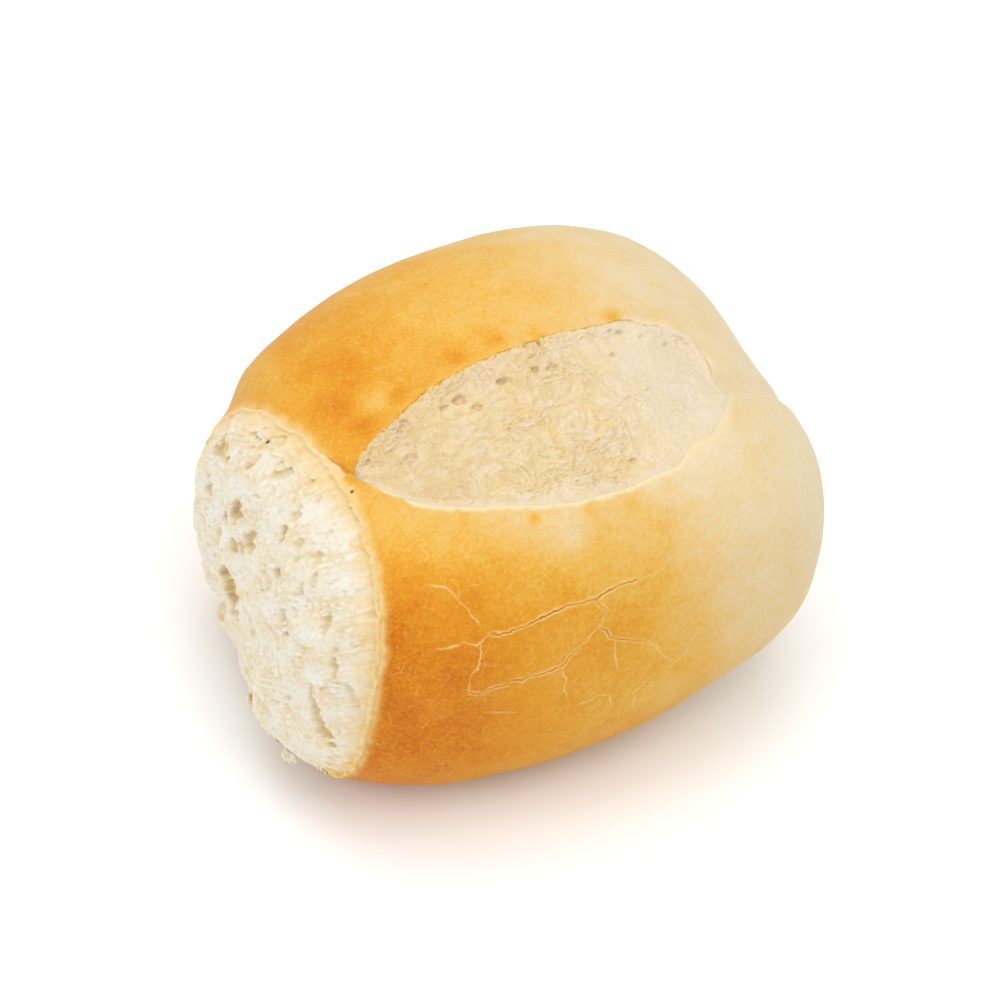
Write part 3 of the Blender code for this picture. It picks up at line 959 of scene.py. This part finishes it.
relief = (0.22 + 0.40 * lively) * folds + 0.14 * thread + 0.10 * pore_rim - 0.7 * pore - 0.28 * small_pits
relief += waves(flat, (0.25, 7.0, 4.0), (0.07, 0.45, 31.0))
far_side = smooth((x - 6) / 16)
relief *= smooth((from_front + 0.3) / 2.5) * smooth((to_tip - 0.3) / 2.0) * (1 - WHOLE_END_CALM * far_side)
leaf = from_cut_place(x, height - depth + relief, forward)
leaf[:, 2] -= press_crease(leaf)
write_places(cut_crumb, leaf + shift)
paint(cut_crumb, "thread", thread)
# Painted shade in the pores and small pits, and a painted shadow along each pore's back rim.
paint(cut_crumb, "pore", np.clip(0.5 * pore + 0.30 * small_pits + 0.45 * pore_rim, 0, 1))
# Painted shade in the creases between the folds, less on the far side, and darker towards the torn end.
fold_shade_and_tone = 1.25 * (1 - folds) ** 1.5 * (1 - 0.55 * far_side) + 0.25 * smooth((-12 - x) / 10)
paint(cut_crumb, "fold_shade_and_tone", np.clip(fold_shade_and_tone, 0, 1))
front = 0.6 * smooth(1 - from_front / 2.5 + 0.5 * wander(flat, 1.5, 51.0))
paint(cut_crumb, "front", np.maximum(front, 0.6 * far_side))
close_shell(cut_crumb, [(1, (0, 0, -LEAF_WALL))])

# %% [markdown]
# ## Loose flakes at the tear
# White flaps of crumb and golden splinters of crust cling to the tear's lower edge. Each is a ball,
# flattened, crumpled by smooth noise, turned and set on the crumb. One kind becomes one piece.

# %% Flakes of crumb and crust
# Each row: Y, Z, length, width, thickness and turn in degrees
CRUMB_FLAKES = (
    (-20.6, 9.2, 3.0, 1.8, 2.6, 20), (-18.6, 8.4, 1.8, 1.2, 1.4, -30), (-24.3, 8.2, 1.4, 1.0, 0.9, 60),
    (-14.0, 9.2, 1.5, 1.0, 0.8, 10), (-9.0, 12.0, 1.3, 0.9, 0.7, -50),
)
CRUST_FLAKES = (
    (-10.4, 13.4, 2.4, 1.1, 0.7, 70), (-22.4, 7.4, 2.2, 1.2, 0.7, 15), (-25.4, 8.0, 1.7, 1.0, 0.7, -40),
    (-19.8, 7.6, 1.6, 0.8, 0.6, 35), (-16.4, 9.0, 1.2, 0.8, 0.5, 5),
)


def flake(name, spot, length, width, thickness, turn, seed):
    """A thin crumpled flake that lies on the crumb at a spot in Y and Z."""
    bpy.ops.mesh.primitive_ico_sphere_add(subdivisions=4, radius=1.0)
    thing = bpy.context.object
    thing.name = name
    ball = read_places(thing) * MM
    crumple = 1 + 0.8 * wander(ball, 0.8, seed) + 0.15 * wander(ball, 0.35, seed + 3)
    body = ball * crumple[:, None] * np.array([thickness, length, width]) / 2
    angle = math.radians(turn)
    turned = np.array([[math.cos(angle), math.sin(angle)], [-math.sin(angle), math.cos(angle)]])
    body[:, 1:] = body[:, 1:] @ turned
    nearest = np.argmin(np.hypot(crumb_skin[:, 1] - spot[0], crumb_skin[:, 2] - spot[1]))
    write_places(thing, body + crumb_skin[nearest] - np.array([thickness / 5, 0, 0]))
    return thing


def flakes(name, spots, seed):
    """One piece that holds a flake for each spot."""
    things = [flake(name, spot[:2], *spot[2:], seed + 7 * index) for index, spot in enumerate(spots)]
    choose(*things)
    bpy.ops.object.join()
    low = min(vert.co.z for vert in things[0].data.vertices)
    print(name, "flakes:", len(spots), "lowest, mm:", round(low / MM, 2))
    return things[0]


crumb_flakes = flakes("crumb_flakes", CRUMB_FLAKES, 1.0)
crust_flakes = flakes("crust_flakes", CRUST_FLAKES, 2.0)
paint(crust_flakes, "bake", np.full(len(crust_flakes.data.vertices), 0.15))

# %% [markdown]
# ## Baked colours
# The crust is brown by the torn end and pale at the whole end and in a band under the cut. A value
# for each corner says how strongly it is baked. Scorches along the back lip and pale patches change
# it here and there, and smooth noise breaks it up.

# %% How strongly each place is baked
# Each row: X, distance forward, radius and strength
SCORCHES = (
    (-25.8, -6.8, 1.8, 0.24), (-18.8, -9.8, 1.6, 0.20), (-7.8, -12.4, 2.0, 0.26), (-0.6, -13.2, 1.6, 0.28),
    (6.0, -12.2, 1.6, 0.14), (20.0, -12.2, 1.9, 0.34), (-28.0, -12.5, 3.4, 0.16), (-24.0, -18.0, 5.0, 0.10),
    (-9.2, 19.5, 1.0, 0.26), (-0.4, 20.9, 1.0, 0.18), (6.5, 21.2, 1.7, 0.14), (13.5, 21.0, 1.6, 0.08),
)
PALE_PATCHES = ((-5.5, 22.5, 3.6, -0.20), (-22.4, -11.0, 2.4, -0.20), (-24.0, 18.5, 2.5, -0.08))
BAKE_MIDDLE = 0.60
BAKE_SLOPE = 0.0085  # per millimetre towards the torn end

places = read_places(crust) - shift
x, y, z = places.T
height, forward = cut_place(places)
on_top = height > 0
turn = np.degrees(np.arctan2(z - WAIST, -y))  # round the long axis: 0 in front, 90 at the top
turn = np.where(turn < -90, turn + 360, turn)
in_heat = smooth((235 - turn) / 60)
bake = BAKE_MIDDLE - BAKE_SLOPE * x - 0.17 * smooth((x - 12) / 16)
under_cut = 0.42 * bell(turn, 52, 19) + 0.12 * smooth((turn - 60) / 30) * in_heat
bake -= under_cut * smooth((32 - x) / 14)
bake -= 0.16 * smooth((-26 - x) / 8) * smooth((turn - 60) / 20) * in_heat
bake += 0.09 * smooth((-14 - x) / 14) * bell(turn, 26, 19)
bake -= 0.07 * smooth((16 - z) / 12) * smooth((-8 - x) / 10)
bake -= 0.12 * bell(x, 22, 13) * bell(turn, 22, 22)
near_forward = forward + 0.8 * wander(places, 3.0, 33.0)
for middle_x, middle_forward, radius, strength in SCORCHES + PALE_PATCHES:
    away = np.hypot(x - middle_x, near_forward - middle_forward)
    bake += strength * bell(away, 0, radius) * on_top
bake += waves(places, (0.08, 16.0, 4.0), (0.07, 6.0, 7.0), (0.04, 2.5, 9.0))
paint(crust, "bake", np.clip(bake, 0.02, 1))
print("bake:", np.round([bake.min(), bake.mean(), bake.max()], 2))

# %% [markdown]
# ## The broken edge, the lips and a speck
# The skin is paler where it broke, most of all at the upper back, and on the cut's lips, where it
# stretched thin. The lip's paint is narrow along the front and wraps round the cut's blunt end.

# %% Values painted on the crust's edges
EDGE_REACH = 1.9
BACK_REACH = 1.6
LIP_REACH = 0.9
BLUNT_REACH = 2.2

torn_gap = x - broken_edge_x(y, z) + waves(places, (0.5, 2.5, 41.0), (0.4, 0.9, 47.0))
paint(crust, "edge", smooth(1 - torn_gap / (EDGE_REACH + BACK_REACH * bell(turn, 142, 22))))
spot = np.hypot(x - CRUST_SPECK[0], forward - CRUST_SPECK[1])
paint(crust, "speck", smooth(1.5 - spot / 0.25) * on_top)
share, from_back, from_front, to_tip = cut_sides(places)
blunt = smooth((share - 0.72) / 0.2)
lip_gap = np.minimum(np.abs(from_front), np.abs(from_back) + 3 * (1 - blunt))
lip_gap += 0.5 * wander(places, 1.5, 61.0)
lip = smooth(1.2 * (1 - lip_gap / (LIP_REACH + BLUNT_REACH * blunt)))
paint(crust, "lip", lip * smooth((to_tip + 2 * blunt) / 3.0) * on_top)
print("crust's corners on a lip:", int((lip * on_top > 0.5).sum()))

# %% [markdown]
# ## Helpers for materials
# Colours are given as they should look under the studio's light, 0 to 255, and are turned into the
# linear values that the renderer works with. A small class keeps one material's nodes together, so
# that each finish below reads as a list of what covers what.

# %% Helpers for materials
STUDIO_LIGHT = 1.35


def tone(red, green, blue):
    """The linear colour of a surface that looks like this, 0 to 255, under the studio's light."""
    values = np.array([red, green, blue]) / 255
    linear = np.where(values > 0.04045, ((values + 0.055) / 1.055) ** 2.4, values / 12.92)
    return (*(linear / STUDIO_LIGHT).tolist(), 1.0)


class Finish:
    """A material under construction, with a short way to add and join nodes."""

    def __init__(self, name, roughness, specular=0.25):
        self.material = bpy.data.materials.new(name)
        self.material.use_nodes = True
        self.tree = self.material.node_tree
        self.shader = self.tree.nodes["Principled BSDF"]
        self.shader.inputs["Roughness"].default_value = roughness
        self.shader.inputs["Specular IOR Level"].default_value = specular
        self.object_place = self.add("ShaderNodeTexCoord").outputs["Object"]

    def add(self, kind, inputs=None, **settings):
        """A node with its settings, whose inputs are each linked to an output or set to a value."""
        node = self.tree.nodes.new(kind)
        for key, value in settings.items():
            setattr(node, key, value)
        for key, source in (inputs or {}).items():
            if isinstance(source, bpy.types.NodeSocket):
                self.tree.links.new(source, node.inputs[key])
            else:
                node.inputs[key].default_value = source
        return node

    def math(self, operation, *terms):
        return self.add("ShaderNodeMath", dict(enumerate(terms)), operation=operation).outputs[0]

    def painted(self, name):
        return self.add("ShaderNodeAttribute", attribute_name=name).outputs["Fac"]

    def noise(self, size, detail=3.0):
        """Noise whose patches are about a size across, in millimetres."""
        node = self.add("ShaderNodeTexNoise", {"Vector": self.object_place, "Scale": 1 / (size * MM),
                                               "Detail": detail, "Roughness": 0.6})
        return node.outputs["Fac"]

    def roughen(self, value, *noises):
        """A value with noises added, each given by its size, detail and weight."""
        for size, detail, weight in noises:
            centred = self.math("MULTIPLY_ADD", self.noise(size, detail), weight, -weight / 2)
            value = self.math("ADD", value, centred)
        return value

    def hairlines(self, size, width):
        """Thin broken lines between cells about a size across: 1 on a line and 0 off it."""
        drift = self.add("ShaderNodeTexNoise", {"Vector": self.object_place, "Scale": 1 / (2.5 * MM),
                                                "Detail": 3.0})
        shaken = self.add("ShaderNodeVectorMath", {0: drift.outputs["Color"], 1: (2.2 * MM,) * 3,
                                                   2: self.object_place}, operation="MULTIPLY_ADD")
        cells = self.add("ShaderNodeTexVoronoi", {"Vector": shaken.outputs[0], "Scale": 1 / (size * MM)},
                         feature="DISTANCE_TO_EDGE")
        line = self.ramp(cells.outputs["Distance"], [(0.0, (1, 1, 1, 1)), (width, (0, 0, 0, 1))])
        return self.math("MULTIPLY", line, self.mask(self.noise(3.5), 0.52, 0.66, 0.35))

    def ramp(self, value, stops):
        node = self.add("ShaderNodeValToRGB", {"Fac": value})
        elements = node.color_ramp.elements
        while len(elements) < len(stops):
            elements.new(0.5)
        for element, (position, colour) in zip(elements, stops):
            element.position = position
            element.color = colour
        return node.outputs["Color"]

    def mask(self, value, start, end, most):
        """A grey that rises from 0 at a start to a most at an end."""
        return self.ramp(value, [(start, (0, 0, 0, 1)), (end, (most, most, most, 1))])

    def mix(self, value, first, second):
        """A blend from one colour to another; a colour is an output or four numbers."""
        node = self.add("ShaderNodeMix", {"Factor": value, 6: first, 7: second}, data_type="RGBA")
        return node.outputs[2]

    def cover(self, colour, layers):
        """A colour with painted layers over it, each named by the value that it follows."""
        for name, over in layers.items():
            colour = self.mix(self.painted(name), colour, over)
        return colour

    def bump(self, height, depth):
        node = self.add("ShaderNodeBump", {"Strength": 1.0, "Distance": depth * MM, "Height": height})
        self.tree.links.new(node.outputs["Normal"], self.shader.inputs["Normal"])

    def colour(self, output):
        self.tree.links.new(output, self.shader.inputs["Base Color"])

    def give(self, *pieces):
        for piece in pieces:
            piece.data.materials.clear()
            piece.data.materials.append(self.material)
        print(self.material.name, "nodes:", len(self.tree.nodes))


SPECK_TONE = tone(50, 34, 20)

# %% [markdown]
# ## The crust's finish
# The painted bake, roughened by noise in three sizes, runs through a colour ramp from cream to brown. Pale
# flecks and hairlines lie over it, then the seams, the broken edge, the lips, painted shade in the cracks
# and the crease, and one speck. Bread has hardly any gloss, so its specular level is low.

# %% The crust's finish
baked = Finish("baked_crust", 0.5, specular=0.12)
level = baked.roughen(baked.painted("bake"), (5.0, 3.0, 0.14), (1.6, 3.0, 0.18), (0.6, 6.0, 0.50))
golden = baked.ramp(level, [
    (0.0, tone(240, 223, 186)),
    (0.12, tone(240, 216, 170)),
    (0.30, tone(241, 203, 131)),
    (0.50, tone(241, 186, 80)),
    (0.68, tone(236, 164, 44)),
    (0.85, tone(229, 142, 27)),
    (1.0, tone(210, 115, 16)),
])
golden = baked.mix(baked.mask(baked.noise(0.5, 2.0), 0.60, 0.74, 0.28), golden, tone(248, 214, 136))
hair = baked.hairlines(4.5, 0.03)
golden = baked.mix(hair, golden, tone(248, 212, 138))
edge_tone = baked.ramp(baked.painted("edge"), [(0.2, tone(243, 186, 86)), (0.9, tone(248, 214, 144))])
baked.colour(baked.cover(golden, {
    "seam": tone(248, 210, 134),
    "edge": edge_tone,
    "lip": tone(246, 226, 180),
    # Painted shade in the crack grooves and the crease.
    "crack": tone(186, 116, 46),
    "speck": SPECK_TONE,
}))
baked.bump(baked.math("MULTIPLY_ADD", hair, 0.8, baked.noise(0.5, 4.0)), 0.07)
baked.give(crust, crust_flakes)

# %% [markdown]
# ## The crumb's finishes
# Torn crumb is soft and lets a little light through, so it has subsurface scattering. Shade is painted into
# its hollows and pits, with patches of tint, and it is tinted near the crust and on the golden bits. The
# dried skin in the cut is firmer; shade is painted into its creases and pores, and its threads are a darker
# yellow.

# %% The crumb's finishes
torn = Finish("torn_crumb", 0.85)
torn.shader.inputs["Subsurface Weight"].default_value = 0.6
torn.shader.inputs["Subsurface Radius"].default_value = (1.0, 0.75, 0.5)
torn.shader.inputs["Subsurface Scale"].default_value = 0.8 * MM
white = torn.ramp(torn.noise(4.0), [(0.35, tone(252, 249, 240)), (0.65, tone(250, 242, 220))])
white = torn.mix(torn.mask(torn.noise(0.6), 0.48, 0.70, 0.6), white, tone(242, 224, 184))
torn.colour(torn.cover(white, {
    # Painted shade in the hollows and pits, with patches of tint.
    "pit_shade_and_tint": tone(242, 214, 156),
    "rim": tone(249, 211, 132),
    "bits": tone(240, 196, 104),
    "speck": SPECK_TONE,
}))
torn.bump(torn.noise(0.35, 5.0), 0.12)
torn.give(torn_crumb, crumb_flakes)

dried = Finish("dried_crumb", 0.6)
cream = dried.ramp(dried.noise(5.0), [(0.38, tone(243, 225, 202)), (0.62, tone(244, 220, 168))])
cream = dried.mix(dried.mask(dried.noise(0.7, 4.0), 0.45, 0.68, 0.5), cream, tone(232, 206, 158))
dried.colour(dried.cover(cream, {
    # Painted shade in the fold creases, darker towards the torn end.
    "fold_shade_and_tone": tone(226, 197, 146),
    "thread": tone(243, 206, 124),
    # Painted shade in the pores and pits, and painted shadows at their rims.
    "pore": tone(206, 162, 104),
    "front": tone(238, 224, 200),
}))
dried.bump(dried.noise(0.35, 5.0), 0.10)
dried.give(cut_crumb)

# %% [markdown]
# ## Shading and hand-over
# Smooth shading hides the grid, and edges over a set angle stay crisp. Each piece rides on the roll's one
# body, and the solid they stand for is hidden.

# %% Pieces handed over
for piece, slot in ((crust, "crust"), (torn_crumb, "crumb"), (cut_crumb, "crumb"),
                    (crumb_flakes, "crumb"), (crust_flakes, "crust")):
    choose(piece)
    bpy.ops.object.shade_smooth_by_angle(angle=math.radians(60))
    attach(piece, "root")
    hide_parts("roll")
bpy.ops.object.select_all(action="DESELECT")
